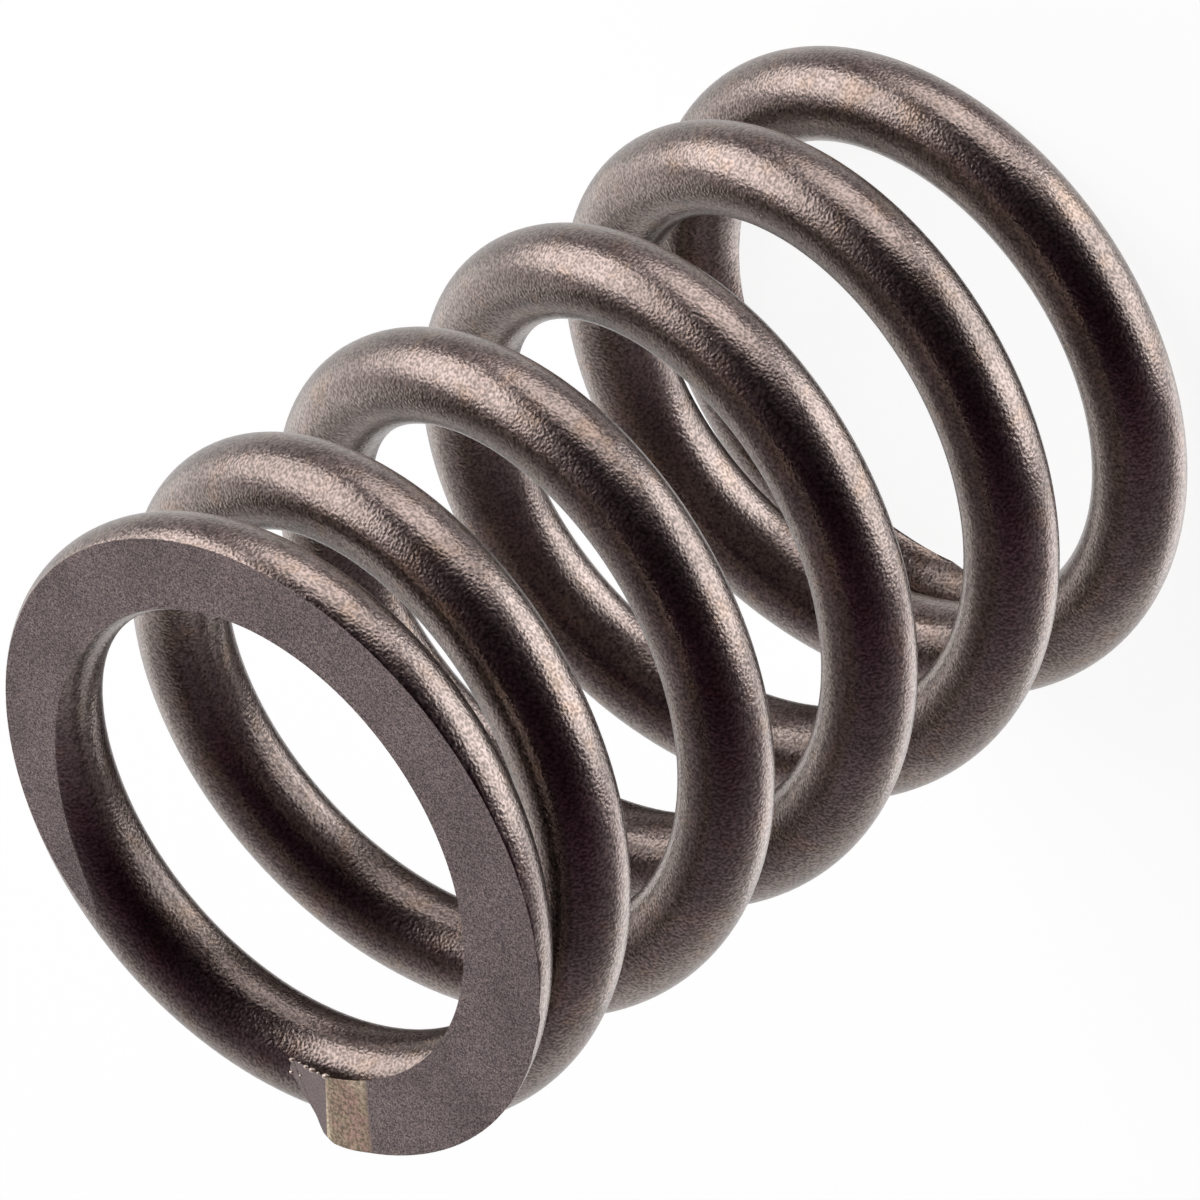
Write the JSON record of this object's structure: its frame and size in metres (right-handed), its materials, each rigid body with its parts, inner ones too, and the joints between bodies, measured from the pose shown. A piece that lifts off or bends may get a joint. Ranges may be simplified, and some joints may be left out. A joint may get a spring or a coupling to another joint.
{
  "type": "valve spring",
  "caption": "Engine valve spring: a left-hand helical compression spring of round steel wire with closed, ground-flat ends.",
  "frame": {"origin": "centre of the bottom ground end face, on the coil's axis", "axes": "+Z along the coil's axis towards the other ground end, whose wire tip is at -Y"},
  "size_m": [0.0294, 0.0294, 0.0435],
  "materials": {
    "spring_steel": "dark bronze-grey, satin, shot-peened"
  },
  "bodies": {
    "root": {"valve_spring": "spring_steel"}
  },
  "joints": []
}
